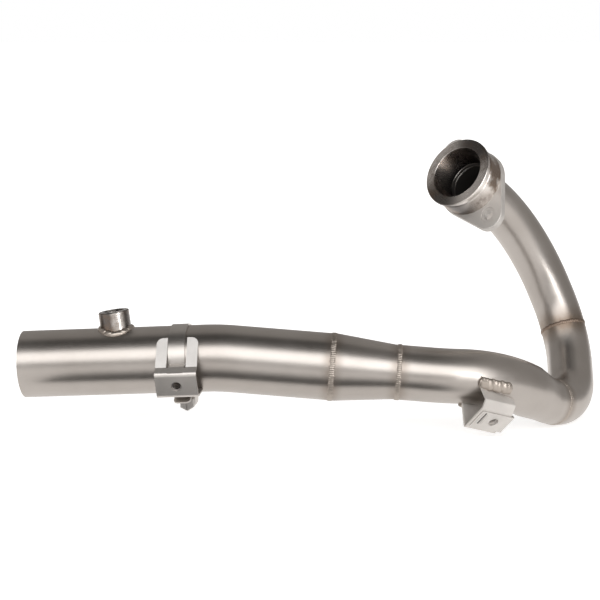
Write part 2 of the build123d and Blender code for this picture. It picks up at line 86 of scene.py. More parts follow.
def forward(station, length):
    """The station moved along its own z."""
    return station @ Matrix.Translation((0, 0, length))


def bent(station, radius, degrees):
    """The station at the far end of a bend towards its own x."""
    out = Matrix.Translation((radius, 0, 0))
    back = Matrix.Translation((-radius, 0, 0))
    return station @ out @ Matrix.Rotation(math.radians(degrees), 4, "Y") @ back


def station_at(origin, x_axis, z_axis):
    """A station from its origin, roughly its x, and exactly its z."""
    z = Vector(z_axis).normalized()
    x = (Vector(x_axis) - z * Vector(x_axis).dot(z)).normalized()
    return Matrix.Translation(origin) @ Matrix((x, z.cross(x), z)).transposed().to_4x4()


# %% The inlet, where the gas enters
HEADING = math.radians(47.5)
FALL = math.radians(29.0)

level_share = math.cos(FALL)
gas_enters = (level_share * math.cos(HEADING), level_share * math.sin(HEADING), -math.sin(FALL))
inlet = station_at((0, 0, 0), (math.sin(HEADING), -math.cos(HEADING), 0), gas_enters)
inlet_flow = inlet.col[2].to_3d()
print("the gas enters along", [round(value, 3) for value in inlet_flow])

# %% The route of the five tubes
SLIM = 21.0 * MM
MIDDLE = 24.5 * MM
WIDE = 30.0 * MM
SOCKET_DEPTH = 28.0 * MM
LAST_RUN = 165.5

# Each tube is a list of steps, with lengths in millimetres and angles in degrees: a run
# (length), a taper (length, end radius in metres), a bend (radius, angle) or a roll
# (angle)
ROUTE = {
    "head_pipe": (
        ("run", 26.5), ("roll", 63.0), ("bend", 125.0, 54.0), ("run", 10.0),
        ("roll", -1.5), ("bend", 82.0, 19.5), ("run", 3.0),
    ),
    "elbow_pipe": (
        ("run", 3.0), ("bend", 82.0, 25.5), ("run", 18.0),
        ("roll", 10.5), ("bend", 42.0, 66.5), ("run", 3.0),
    ),
    "mid_pipe": (
        ("run", 3.0), ("bend", 42.0, 16.5), ("taper", 22.0, MIDDLE),
        ("roll", 93.0), ("bend", 120.0, 34.0), ("run", 5.0),
        ("roll", -49.0), ("bend", 110.0, 12.5), ("run", 28.0),
    ),
    "reducer_cone": (("run", 4.0), ("taper", 51.0, WIDE), ("run", 4.0)),
    "outlet_pipe": (
        ("run", 88.0), ("roll", 57.0), ("bend", 150.0, 9.5), ("run", LAST_RUN),
    ),
}
START_RADIUS = {
    "head_pipe": SLIM,
    "elbow_pipe": SLIM,
    "mid_pipe": SLIM,
    "reducer_cone": MIDDLE,
    "outlet_pipe": WIDE,
}


def walk(station, steps):
    """The station at the end of a tube's steps."""
    for step in steps:
        if step[0] in ("run", "taper"):
            station = forward(station, step[1] * MM)
        elif step[0] == "roll":
            station = turned(station, "Z", step[1])
        else:
            station = bent(station, step[1] * MM, step[2])
    return station


starts = {}
here = forward(inlet, SOCKET_DEPTH)
for tube_name, steps in ROUTE.items():
    starts[tube_name] = here
    here = walk(here, steps)
outlet_end = here
print("outlet ends at", [round(value, 4) for value in outlet_end.translation])

# %% The sensor boss on the last run
TOWARDS_FRONT = Vector((0, -1, 0))
BOSS_AT = 77.0 * MM
BOSS_LEAN = math.radians(5.0)

last_run = forward(outlet_end, -LAST_RUN * MM)
last_flow = last_run.col[2].to_3d()
level = (TOWARDS_FRONT - last_flow * TOWARDS_FRONT.dot(last_flow)).normalized()
crown = last_flow.cross(level)
boss_axis = crown * math.cos(BOSS_LEAN) + last_flow * math.sin(BOSS_LEAN)
boss = station_at(forward(last_run, BOSS_AT).translation, level, boss_axis)
print("the boss points along", [round(value, 3) for value in boss_axis])

# %% [markdown]
# ## Shader sums as Python sums
# The finishes of this header are masks: how near a weld is, how far a point is from an
# axis, how cloudy the metal is. Math nodes could be added and linked one by one, but
# then a short sum takes a page. Here one small class wraps a socket, so that a mask is
# written as an ordinary sum, and one method adds any other node.

# %% The socket class
class Wire:
    """A socket of a node tree, whose sums add Math nodes."""

    def __init__(self, tree, socket=None):
        self.tree = tree
        self.socket = socket

    def node(self, kind, settings=None, inputs=None, output=0):
        """Adds a node of any type, sets it, and gives its sockets values or links."""
        made = self.tree.nodes.new(kind)
        for name, value in (settings or {}).items():
            setattr(made, name, value)
        for name, value in (inputs or {}).items():
            if isinstance(value, Wire):
                self.tree.links.new(value.socket, made.inputs[name])
            else:
                made.inputs[name].default_value = value
        return Wire(self.tree, made.outputs[output])

    def maths(self, operation, first, second=0.0, clamp=False):
        settings = {"operation": operation, "use_clamp": clamp}
        return self.node("ShaderNodeMath", settings, {0: first, 1: second})

    def __add__(self, other):
        return self.maths("ADD", self, other)

    def __radd__(self, other):
        return self.maths("ADD", other, self)

    def __sub__(self, other):
        return self.maths("SUBTRACT", self, other)

    def __rsub__(self, other):
        return self.maths("SUBTRACT", other, self)

    def __mul__(self, other):
        return self.maths("MULTIPLY", self, other)

    def __rmul__(self, other):
        return self.maths("MULTIPLY", other, self)

    def __truediv__(self, other):
        return self.maths("DIVIDE", self, other)

    def __rtruediv__(self, other):
        return self.maths("DIVIDE", other, self)

    def __abs__(self):
        return self.maths("ABSOLUTE", self)

    def root(self):
        return self.maths("POWER", self, 0.5)

    def sine(self):
        return self.maths("SINE", self)

    def larger(self, other):
        return self.maths("MAXIMUM", self, other)

    def clamped(self):
        return self.maths("ADD", self, 0.0, clamp=True)

    def fade(self, low, high):
        """0 up to low, 1 from high, and smooth between."""
        settings = {"interpolation_type": "SMOOTHSTEP"}
        inputs = {"Value": self, "From Min": low, "From Max": high, "To Min": 0.0, "To Max": 1.0}
        return self.node("ShaderNodeMapRange", settings, inputs)

    def blend(self, first, second):
        """The first colour where this mask is 0 and the second where it is 1."""
        inputs = {"Factor": self, 6: first, 7: second}
        return self.node("ShaderNodeMix", {"data_type": "RGBA"}, inputs, output=2)


# %% Places and noise
class Place(Wire):
    """A vector socket: a point on the piece, or a way from one point to another."""

    def offset_from(self, point):
        """The way from a fixed point to here."""
        settings = {"operation": "SUBTRACT"}
        made = self.node("ShaderNodeVectorMath", settings, {0: self, 1: point})
        return Place(self.tree, made.socket)

    def length(self):
        return self.node("ShaderNodeVectorMath", {"operation": "LENGTH"}, {0: self}, output=1)

    def reach(self, direction):
        """How far this vector goes along a direction."""
        settings = {"operation": "DOT_PRODUCT"}
        return self.node("ShaderNodeVectorMath", settings, {0: self, 1: direction}, output=1)

    def coordinate(self, axis):
        """One of the vector's numbers: 0, 1 or 2."""
        return self.node("ShaderNodeSeparateXYZ", {}, {0: self}, output=axis)

    def noise(self, scale, detail, roughness=0.5):
        inputs = {"Vector": self, "Scale": scale, "Detail": detail, "Roughness": roughness}
        return self.node("ShaderNodeTexNoise", {}, inputs)


# %% Materials and their sockets
# Which output of the Texture Coordinate node the Object coordinates are
OBJECT_COORDINATES = 3


def new_material(name):
    """A material, its Principled shader, and its Object coordinates."""
    material = bpy.data.materials.new(name)
    material.use_nodes = True
    tree = material.node_tree
    place = Wire(tree).node("ShaderNodeTexCoord", output=OBJECT_COORDINATES)
    return material, tree.nodes["Principled BSDF"], Place(tree, place.socket)


def feed(shader, **values):
    """Gives the shader's sockets values or links, with spaces written as underscores."""
    for name, value in values.items():
        socket = shader.inputs[name.replace("_", " ")]
        if isinstance(value, Wire):
            value.tree.links.new(value.socket, socket)
        else:
            socket.default_value = value


def bumped(height, strength, distance):
    """A surface tilted by a height, for the Normal socket."""
    inputs = {"Strength": strength, "Distance": distance, "Height": height}
    return height.node("ShaderNodeBump", {}, inputs)


# %% [markdown]
# ## Satin tube with heat colour
# The tube is satin steel: a warm grey that mirrors its surroundings softly, with a
# brown bloom where the welds heated it. The bloom could be painted on an image,
# but an image needs unwrapped tubes. A mask made from the distance to each weld's
# station follows the pipe by itself, also after the pipe's route is changed.

# %% Heat bloom near the welds
# Tube that starts at the weld, strength, and how far the bloom reaches in millimetres
HEATED = (
    ("elbow_pipe", 1.0, 20.0),
    ("mid_pipe", 0.5, 10.0),
    ("reducer_cone", 0.6, 12.0),
    ("outlet_pipe", 0.6, 12.0),
)
BLOOM_START = 1.5 * MM
OFF_THE_TUBE = (40 * MM, 48 * MM)


def heat_mask(place):
    """1 on a strongly heated weld, and 0 a reach away from all of them."""
    hottest = None
    for tube_name, strength, reach in HEATED:
        station = starts[tube_name]
        offset = place.offset_from(station.translation)
        side = abs(offset.reach(station.col[2].to_3d()))
        on_the_tube = 1.0 - offset.length().fade(*OFF_THE_TUBE)
        mask = (1.0 - side.fade(BLOOM_START, reach * MM)) * on_the_tube * strength
        hottest = mask if hottest is None else hottest.larger(mask)
    return hottest


# %% The satin tube
TUBE_DARK = (0.46, 0.425, 0.395, 1)
TUBE_LIGHT = (0.52, 0.485, 0.455, 1)
HEAT_BROWN = (0.21, 0.15, 0.105, 1)


def tube_metal():
    """Warm grey steel with a faint cloud, a fine grain and the heat bloom."""
    material, shader, place = new_material("satin_tube")
    cloud = place.noise(14.0, 4.0)
    grain = place.noise(900.0, 2.0, 0.6)
    fine = place.noise(260.0, 3.0, 0.55)
    streaks = place.noise(60.0, 4.0, 0.6)
    heat = heat_mask(place) * (0.15 + streaks * 1.3)
    plain = cloud.fade(0.35, 0.65).blend(TUBE_DARK, TUBE_LIGHT)
    tinted = (heat.clamped() * 0.85).blend(plain, HEAT_BROWN)
    rough = 0.33 + (fine - 0.5) * 0.08 + (cloud - 0.5) * 0.06 + heat * 0.08
    bump = bumped(grain + fine, 0.03, 0.05 * MM)
    feed(shader, Base_Color=tinted, Roughness=rough, Metallic=1.0, Normal=bump)
    return material


satin_tube = tube_metal()
print(satin_tube.name, len(satin_tube.node_tree.nodes), "nodes")

# %% Soot and painted shade inside
SOOT_AND_SHADE_DARK = (0.008, 0.007, 0.006, 1)
SOOT_AND_SHADE_LIGHT = (0.022, 0.018, 0.015, 1)


def soot_and_shade(name):
    """A dull near-black: soot with painted shade inside the pipes and the collar's throat, and
    painted shade in the clip nut's slot.
    """
    material, shader, place = new_material(name)
    shade = place.noise(120.0, 4.0).blend(SOOT_AND_SHADE_DARK, SOOT_AND_SHADE_LIGHT)
    feed(shader, Base_Color=shade, Roughness=0.75, Metallic=0.0)
    return material


soot_and_shade_black = soot_and_shade("dark_bore")
print(soot_and_shade_black.name)

# %% [markdown]
# ## Rolled, folded and welded finishes
# The flange, the strap, the folded sheets, the nuts and the weld beads differ in tone,
# gloss and grain, but not in kind. Each could be a material of its own with its own
# nodes. One function with a few values keeps them related, so that a change of the
# grain reaches all of them.

# %% Plain metals
def plain_metal(name, colour, rough, grain=700.0, strength=0.05, spread=0.08, metal=1.0):
    """A metal finish with a grain and a slow change of tone and roughness."""
    material, shader, place = new_material(name)
    cloud = place.noise(30.0, 4.0)
    pits = place.noise(grain, 3.0, 0.6)
    light = tuple(min(channel * 1.08, 1.0) for channel in colour) + (1,)
    dark = tuple(channel * 0.92 for channel in colour) + (1,)
    shade = cloud.fade(0.3, 0.7).blend(dark, light)
    roughness = rough + (pits - 0.5) * spread + (cloud - 0.5) * spread
    bump = bumped(pits, strength, 0.2 * MM)
    feed(shader, Base_Color=shade, Roughness=roughness, Metallic=metal, Normal=bump)
    return material


flange_metal = plain_metal("satin_flange", (0.50, 0.475, 0.45), 0.48, metal=0.55)
strap_metal = plain_metal("rolled_strap", (0.56, 0.53, 0.50), 0.36)
screw_metal = plain_metal("worm_screw", (0.50, 0.48, 0.46), 0.30)
nut_metal = plain_metal("dull_nut", (0.42, 0.40, 0.39), 0.38)

WELD_SURFACE = {"grain": 400.0, "strength": 0.3, "spread": 0.16}
weld_metal = plain_metal("weld_bead", (0.45, 0.40, 0.355), 0.38, **WELD_SURFACE)
burnt_weld_metal = plain_metal("burnt_weld", (0.25, 0.19, 0.15), 0.40, **WELD_SURFACE)

SHEET_SURFACE = {"grain": 500.0, "strength": 0.08}
SHEET_TONE = (0.60, 0.57, 0.54)
# The ears' paler tone and duller gloss are painted light
PAINTED_LIGHT_TONE = (0.80, 0.775, 0.75)
rolled_sheet = plain_metal("rolled_sheet", SHEET_TONE, 0.40, metal=0.9, **SHEET_SURFACE)
painted_light_sheet = plain_metal("painted_light_sheet", PAINTED_LIGHT_TONE, 0.42, metal=0.35, **SHEET_SURFACE)
sheet_metal = plain_metal("folded_sheet", SHEET_TONE, 0.46, metal=0.45, **SHEET_SURFACE)
print(len(bpy.data.materials), "materials so far")

# %% [markdown]
# ## The lathe's finish
# The collar, the flange's hub and the boss come off a lathe, which leaves fine rings.
# Under a lamp such rings show two bright fans opposite each other. The rings are too
# fine to model, so a sine of the distance from the axis tilts the surface, and the fans
# are painted into the colour as painted highlights on a painted dark shade, because a
# roughness that is equal in all directions can't make them.

# %% Turned metals
# Base colours: painted shade between the fans, and painted highlight in them
TURNED_PAINTED_SHADE = (0.15, 0.137, 0.13, 1)
TURNED_PAINTED_HIGHLIGHT = (0.86, 0.81, 0.77, 1)
STAIN_BROWN = (0.20, 0.14, 0.10, 1)
RING_PITCH = 0.7 * MM
WIDE_FANS = (0.05, 0.8)
NARROW_FANS = (0.72, 1.0)


def turned_metal(name, axis, rough, painted_highlight_at, stained=0.6, fans=WIDE_FANS):
    """A lathe's finish round a station's z, with its painted highlight fans at an angle from its x.
    """
    material, shader, place = new_material(name)
    offset = place.offset_from(axis.translation)
    across = offset.reach(axis.col[0].to_3d())
    up = offset.reach(axis.col[1].to_3d())
    along = offset.reach(axis.col[2].to_3d())
    squared = (across * across + up * up).larger(1e-9)
    angle = math.radians(painted_highlight_at)
    aimed = across * math.cos(angle) + up * math.sin(angle)
    cloud = place.noise(25.0, 4.0)
    # The fans: a painted highlight in the base colour, set by the angle round the axis
    painted_highlight_fan = (aimed * aimed / squared + (cloud - 0.5) * 0.25).fade(*fans)
    rings = ((squared.root() + along) * (2 * math.pi / RING_PITCH)).sine()
    rings = rings + (place.noise(600.0, 2.0) - 0.5) * 0.8
    stain = place.noise(38.0, 5.0, 0.65).fade(0.62 - 0.2 * stained, 0.78 - 0.2 * stained)
    shade = painted_highlight_fan.blend(TURNED_PAINTED_SHADE, TURNED_PAINTED_HIGHLIGHT)
    shade = (stain * stained).blend(shade, STAIN_BROWN)
    roughness = rough + (cloud - 0.5) * 0.10 + rings * 0.03
    bump = bumped(rings, 0.09, 0.1 * MM)
    feed(shader, Base_Color=shade, Roughness=roughness, Metallic=1.0, Normal=bump)
    return material


collar_metal = turned_metal("turned_collar", inlet, 0.24, 22.0)
hub_metal = turned_metal("turned_hub", inlet, 0.30, 8.0, stained=0.9)
boss_metal = turned_metal("turned_bung", boss, 0.24, 25.0, fans=NARROW_FANS)
print(len(bpy.data.materials), "materials")

# %% [markdown]
# ## Working by hand in code
# Every piece is started from a primitive or from a copy of its solid, shaped in edit
# mode and finished with modifiers. A finished piece sits at the origin with its place
# in its mesh, so that its pattern stays on it. These helpers hold the few steps that
# every piece repeats.

# %% Select, settle and finish
def select_only(*objects):
    """Selects these objects and nothing else, with the first one active."""
    bpy.ops.object.select_all(action="DESELECT")
    for item in objects:
        item.select_set(True)
    bpy.context.view_layer.objects.active = objects[0]


def settle(piece):
    """Moves a piece's place and turn into its mesh."""
    select_only(piece)
    bpy.ops.object.transform_apply(location=True, rotation=True, scale=True)


def join_to(piece, *others):
    """Joins other pieces into one."""
    select_only(piece, *others)
    bpy.ops.object.join()


def modifier(piece, kind, **settings):
    """Adds one modifier, sets it and applies it."""
    select_only(piece)
    bpy.ops.object.modifier_add(type=kind)
    added = piece.modifiers[-1]
    for name, value in settings.items():
        setattr(added, name, value)
    bpy.ops.object.modifier_apply(modifier=added.name)


def cut(piece, cutter):
    """Cuts one piece with another, which is used up."""
    modifier(piece, "BOOLEAN", operation="DIFFERENCE", object=cutter, solver="EXACT")
    bpy.data.objects.remove(cutter)


def smooth(piece, degrees):
    """Shades a piece smooth, with the edges sharper than an angle left sharp."""
    select_only(piece)
    bpy.ops.object.shade_smooth_by_angle(angle=math.radians(degrees))


# %% Paint and dress
def paint(piece, metal, second=None, takes_second=None):
    """Gives a piece one metal, and a second one on the faces that a test picks."""
    piece.data.materials.clear()
    piece.data.materials.append(metal)
    if second:
        piece.data.materials.append(second)
        for face in piece.data.polygons:
            face.material_index = 1 if takes_second(face) else 0


def dress(piece, name, body, slot, *nodes):
    """Names a finished piece, hangs it on its body and lets it stand for its solids."""
    piece.name = name
    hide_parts(*nodes)
    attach(piece, body)
    print(name, len(piece.data.polygons), "faces")


# %% [markdown]
# ## The tubes
# A real tube is bent on a mandrel, so its section stays round all the way. A curve with
# a bevel would give a tube too, but its rings crowd inside a bend. In Blender the work
# of the bender is a circle that is extruded along each run and spun round the centre of
# each bend, and Solidify then gives the sheet its wall.

# %% One step of a tube
# Millimetres of run, or degrees of bend, for each new ring
RUN_PART = 12.0
SPIN_DEGREES = 1.5
FEWEST_SPINS = 6


def spin_ring(station, radius, degrees):
    """Spins the selected ring round the centre of a bend."""
    steps = max(FEWEST_SPINS, round(degrees / SPIN_DEGREES))
    centre = station @ Vector((radius, 0, 0))
    axis = station.col[1].to_3d()
    bpy.ops.mesh.spin(steps=steps, angle=-math.radians(degrees), center=centre, axis=axis)


def push_ring(station, length, radius, end_radius):
    """Extrudes the selected ring along a run in short parts, to its end's radius."""
    parts = max(1, round(length / RUN_PART))
    for part in range(parts):
        shift = station.col[2].to_3d() * (length * MM / parts)
        bpy.ops.mesh.extrude_edges_move(TRANSFORM_OT_translate={"value": shift})
        station = forward(station, length * MM / parts)
        if end_radius != radius:
            grown = radius + (end_radius - radius) / (parts - part)
            middle = station.translation
            bpy.ops.transform.resize(value=(grown / radius,) * 3, center_override=middle)
            radius = grown


# %% Sweep a tube
WALL = 1.2 * MM
RING = 96
TUBE_SMOOTH = 40


def sweep(name):
    """Extrudes and spins a circle along one tube's steps, and gives it its wall."""
    station = starts[name]
    radius = START_RADIUS[name]
    bpy.ops.object.select_all(action="DESELECT")
    bpy.ops.mesh.primitive_circle_add(
        vertices=RING, radius=radius, location=station.translation, rotation=station.to_euler(),
    )
    tube = bpy.context.object
    settle(tube)
    bpy.ops.object.mode_set(mode="EDIT")
    bpy.ops.mesh.select_all(action="SELECT")
    for step in ROUTE[name]:
        if step[0] == "bend":
            spin_ring(station, step[1] * MM, step[2])
        elif step[0] == "taper":
            push_ring(station, step[1], radius, step[2])
        elif step[0] == "run":
            push_ring(station, step[1], radius, radius)
        station = walk(station, [step])
    bpy.ops.mesh.select_all(action="SELECT")
    bpy.ops.mesh.normals_make_consistent(inside=False)
    bpy.ops.object.mode_set(mode="OBJECT")
    tube.data.materials.append(satin_tube)
    # The inner faces get the near-black of soot with painted shade
    tube.data.materials.append(soot_and_shade_black)
    modifier(tube, "SOLIDIFY", thickness=WALL, offset=-1.0, use_even_offset=True, material_offset=1)
    smooth(tube, TUBE_SMOOTH)
    return tube


# %% The sensor's way in
BOSS_BORE = 8.3 * MM
DRILL_LENGTH = 40 * MM
DRILL_HEIGHT = 35 * MM


def drill_for_sensor(tube):
    """Drills the outlet pipe through the boss, as for the sensor's tip."""
    bpy.ops.mesh.primitive_cylinder_add(vertices=64, radius=BOSS_BORE, depth=DRILL_LENGTH)
    drill = bpy.context.object
    drill.matrix_world = forward(boss, DRILL_HEIGHT)
    settle(drill)
    cut(tube, drill)
    smooth(tube, TUBE_SMOOTH)


# %% Make the five tubes
for tube_name in ROUTE:
    tube = sweep(tube_name)
    if tube_name == "outlet_pipe":
        drill_for_sensor(tube)
    dress(tube, tube_name + "_satin", HEADER, "tube_metal", tube_name)

# %% [markdown]
# ## The weld beads
# A hand weld is a row of small overlapping puddles. A torus with noise would be quicker,
# but it reads as a rubber ring. Here one puddle is a flattened sphere, copied round the
# joint so that each one covers about half of the last, and the row reads as ripples.

# %% A row of drops
DROP_SMOOTH = 60


def puddle(width, length, height):
    """One flattened drop of weld metal at the origin, its height along x."""
    bpy.ops.object.select_all(action="DESELECT")
    bpy.ops.mesh.primitive_uv_sphere_add(segments=14, ring_count=8, radius=1.0)
    drop = bpy.context.object
    drop.scale = (height, length / 2, width / 2)
    settle(drop)
    return drop


def row_of_drops(places, width, length, height):
    """Joins copies of one drop, set at the given places, into one piece."""
    first = puddle(width, length, height)
    drops = []
    for place in places:
        drop = first.copy()
        drop.data = first.data.copy()
        bpy.context.scene.collection.objects.link(drop)
        drop.matrix_world = place
        drops.append(drop)
    bpy.data.objects.remove(first)
    join_to(*drops)
    row = bpy.context.object
    settle(row)
    smooth(row, DROP_SMOOTH)
    return row


# %% Beads round the pipes
RIPPLE_PITCH = 1.9 * MM
RIPPLE_LENGTH = 3.6 * MM
RIPPLE_HEIGHT = 1.2 * MM
RIPPLE_DEPTH = 0.65 * MM
RIPPLE_LEAN = math.radians(10)

# Weld, tube that starts there, the pipe's radius, width, and metal
PIPE_WELDS = (
    ("elbow_weld", "elbow_pipe", SLIM, 4.4 * MM, burnt_weld_metal),
    ("mid_weld", "mid_pipe", SLIM, 4.4 * MM, weld_metal),
    ("cone_weld", "reducer_cone", MIDDLE, 5.2 * MM, weld_metal),
    ("outlet_weld", "outlet_pipe", WIDE, 6.0 * MM, weld_metal),
)


def bead_ring(station, radius, width):
    """A ring of drops round a station, a little uneven as a hand lays them."""
    count = round(2 * math.pi * radius / RIPPLE_PITCH)
    places = []
    for index in range(count):
        wobble = 0.25 * MM * math.sin(index * 2.4) + 0.15 * MM * math.sin(index * 5.1)
        lift = 0.10 * MM * math.sin(index * 1.7)
        around = Matrix.Rotation(2 * math.pi * index / count, 4, "Z")
        out = Matrix.Translation((radius - RIPPLE_DEPTH + lift, 0, wobble))
        places.append(station @ around @ out @ Matrix.Rotation(RIPPLE_LEAN, 4, "Z"))
    return row_of_drops(places, width, RIPPLE_LENGTH, RIPPLE_HEIGHT)


# %% Lay the four beads
for weld_name, tube_name, radius, width, metal in PIPE_WELDS:
    ring = bead_ring(starts[tube_name], radius, width)
    paint(ring, metal)
    dress(ring, weld_name + "_ripples", HEADER, "weld_metal", weld_name)

# %% [markdown]
# ## The weld round the boss
# The boss stands on a round pipe, so its weld isn't a flat ring: it dips on both sides of
# the pipe, like a saddle. A flat ring of drops could be shrunk onto the pipe, but the
# height of the saddle at each place follows from the pipe's circle, so each drop is set
# there at once. The drops are long, overlap by half, and face outwards and up.

# %% Drops on the saddle line
SADDLE_RADIUS = 14.2 * MM
SADDLE_DROPS = 15
OVER_THE_PIPE = 0.3 * MM
FACES_UP = 0.9


def saddle_places():
    """Places round the boss, on the line where its weld meets the pipe."""
    pipe_radius = WIDE + OVER_THE_PIPE
    side = boss_axis.cross(level)
    places = []
    for index in range(SADDLE_DROPS):
        angle = 2 * math.pi * index / SADDLE_DROPS
        out = level * math.cos(angle) + side * math.sin(angle)
        foot = out * SADDLE_RADIUS
        pipe_height = math.sqrt(pipe_radius ** 2 - foot.dot(level) ** 2)
        rise = (pipe_height - foot.dot(crown)) / boss_axis.dot(crown)
        point = boss.translation + foot + boss_axis * rise
        face = (out + boss_axis * FACES_UP).normalized()
        places.append(station_at(point, face, out.cross(boss_axis).cross(face)))
    return places


boss_weld = row_of_drops(saddle_places(), width=6.4 * MM, length=11.5 * MM, height=2.0 * MM)
paint(boss_weld, weld_metal)
dress(boss_weld, "bung_weld_ripples", HEADER, "weld_metal", "bung_weld")

# %% [markdown]
# ## Pieces that keep their solid's shape
# The collar, flange, boss, strap and brackets already have their true shapes as solids.
# They could be modelled again, but a copy stays true to the part. It is merged, because
# a solid arrives as loose triangles, and its hard edges are broken by a fraction of a
# millimetre, as a file or a press leaves them, so that they catch the light.

# %% A softened copy of a solid
SOFT_ANGLE = 32
SAME_PLACE = 0.002 * MM


def soft_copy(node, edge):
    """A merged copy of a solid, with its sharp edges softened if edge isn't 0."""
    copy = frame["nodes"][node].copy()
    copy.data = frame["nodes"][node].data.copy()
    for key in list(copy.keys()):
        del copy[key]
    copy.parent = None
    bpy.context.scene.collection.objects.link(copy)
    select_only(copy)
    bpy.ops.object.mode_set(mode="EDIT")
    bpy.ops.mesh.select_all(action="SELECT")
    bpy.ops.mesh.remove_doubles(threshold=SAME_PLACE)
    bpy.ops.mesh.tris_convert_to_quads(
        face_threshold=math.radians(1), shape_threshold=math.radians(50),
    )
    bpy.ops.object.mode_set(mode="OBJECT")
    if edge:
        modifier(copy, "BEVEL", width=edge, segments=2, limit_method="ANGLE",
                 angle_limit=math.radians(SOFT_ANGLE), use_clamp_overlap=True)
    smooth(copy, SOFT_ANGLE)
    modifier(copy, "WEIGHTED_NORMAL", keep_sharp=True)
    return copy


def soften(node, metal, slot, edge):
    """Dresses a softened copy in one metal, as a part of the header."""
    piece = soft_copy(node, edge)
    paint(piece, metal)
    dress(piece, node + "_soft", HEADER, slot, node)


# %% [markdown]
# ## The inlet collar
# The collar is turned from bar. Its conical mouth is bright, the throat behind it is black
# with soot and shade, painted on as a near-black, and two thin bright steps show in the
# dark. A picture of the throat could be painted on, but the dark starts at one depth, so its
# faces are picked by their depth and by facing the axis. The steps are finer than anything
# in the solid, so each is a thin torus of its own.

# %% The collar's dark throat
THROAT_DEPTH = 22.1 * MM


def in_the_throat(face):
    """Whether a face of the collar looks inwards, past the conical mouth."""
    offset = face.center - inlet.translation
    depth = offset.dot(inlet_flow)
    inward = face.normal.dot(offset - inlet_flow * depth) < 0
    return inward and depth > THROAT_DEPTH


# %% The thin steps in the throat
STEP_DEPTHS = (23.0 * MM, 26.8 * MM)
STEP_RADIUS = 19.75 * MM
STEP_WIRE = 0.18 * MM


def throat_steps():
    """One bright, thin ring for each step."""
    rings = []
    for depth in STEP_DEPTHS:
        bpy.ops.mesh.primitive_torus_add(
            major_radius=STEP_RADIUS, minor_radius=STEP_WIRE, major_segments=96, minor_segments=8,
        )
        ring = bpy.context.object
        ring.matrix_world = forward(inlet, depth)
        settle(ring)
        ring.data.materials.append(collar_metal)
        rings.append(ring)
    return rings


# %% The collar and its weld
collar = soft_copy("inlet_collar", 0.3 * MM)
# The throat's faces get a near-black: soot with painted shade
paint(collar, collar_metal, soot_and_shade_black, in_the_throat)
join_to(collar, *throat_steps())
dress(collar, "inlet_collar_soft", HEADER, "turned_metal", "inlet_collar")
soften("collar_weld", weld_metal, "weld_metal", 0.0)

# %% [markdown]
# ## The loose flange
# The flange is one piece, but it shows two finishes: a turned hub and a satin plate with
# two ears for the studs. It rides on its own body, because it turns on the collar. The
# hub's faces are those in front of the plate, so one depth parts the two metals.

# %% Hub and plate
PLATE_DEPTH = 23.7 * MM


def on_the_hub(face):
    """Whether a face of the flange lies in front of its plate."""
    return (face.center - inlet.translation).dot(inlet_flow) < PLATE_DEPTH


flange = soft_copy("head_flange", 0.3 * MM)
paint(flange, flange_metal, hub_metal, on_the_hub)
dress(flange, "head_flange_soft", FLANGE, "flange_metal", "head_flange")

# %% [markdown]
# ## The boss and the worm clamp
# The boss is turned, and the clamp is a rolled strap with a folded housing, a screw and
# a bracket of sheet. The bracket's two ears lie on the pipe and catch the light more
# than its plate does. A lamp could be aimed at them, but it would light the pipe too, so
# they get a paler, more diffuse sheet metal as painted light. They are found by their
# distance from the pipe's axis.

# %% Boss, strap and screw
soften("sensor_bung", boss_metal, "turned_metal", 0.2 * MM)
soften("clamp_strap", strap_metal, "strap_metal", 0.2 * MM)
soften("clamp_housing", strap_metal, "strap_metal", 0.3 * MM)
soften("clamp_screw", screw_metal, "screw_metal", 0.2 * MM)

# %% The clamp's bracket
EAR_RISE = 4 * MM


def on_the_ears(face):
    """Whether a face of the clamp's bracket lies close to the pipe."""
    offset = face.center - last_run.translation
    from_axis = (offset - last_flow * offset.dot(last_flow)).length
    return from_axis < WIDE + EAR_RISE


bracket = soft_copy("clamp_bracket", 0.25 * MM)
# The ears get the paler sheet: painted light where they catch the lamp
paint(bracket, rolled_sheet, painted_light_sheet, on_the_ears)
dress(bracket, "clamp_bracket_soft", HEADER, "sheet_metal", "clamp_bracket")
soften("clamp_bracket_nut", nut_metal, "nut_metal", 0.3 * MM)

# %% [markdown]
# ## The welded bracket
# The shield's bracket is folded sheet, held by two short, straight beads. A smooth bead
# looks like putty, so each gets a row of fat drops. Their sizes are read from the
# solid's own bead at both ends, so that the drops always cover it.

# %% Drops along a straight bead
DROP_PITCH = 3.7 * MM
DROP_TALLER = 0.1 * MM
DROP_WIDER = 0.4 * MM
DROP_SWING = 0.35 * MM
END_SHARES = (0.12, 0.88)
FIRST_DROP = 0.13
DROPS_SPAN = 0.74
SLICE = 0.15


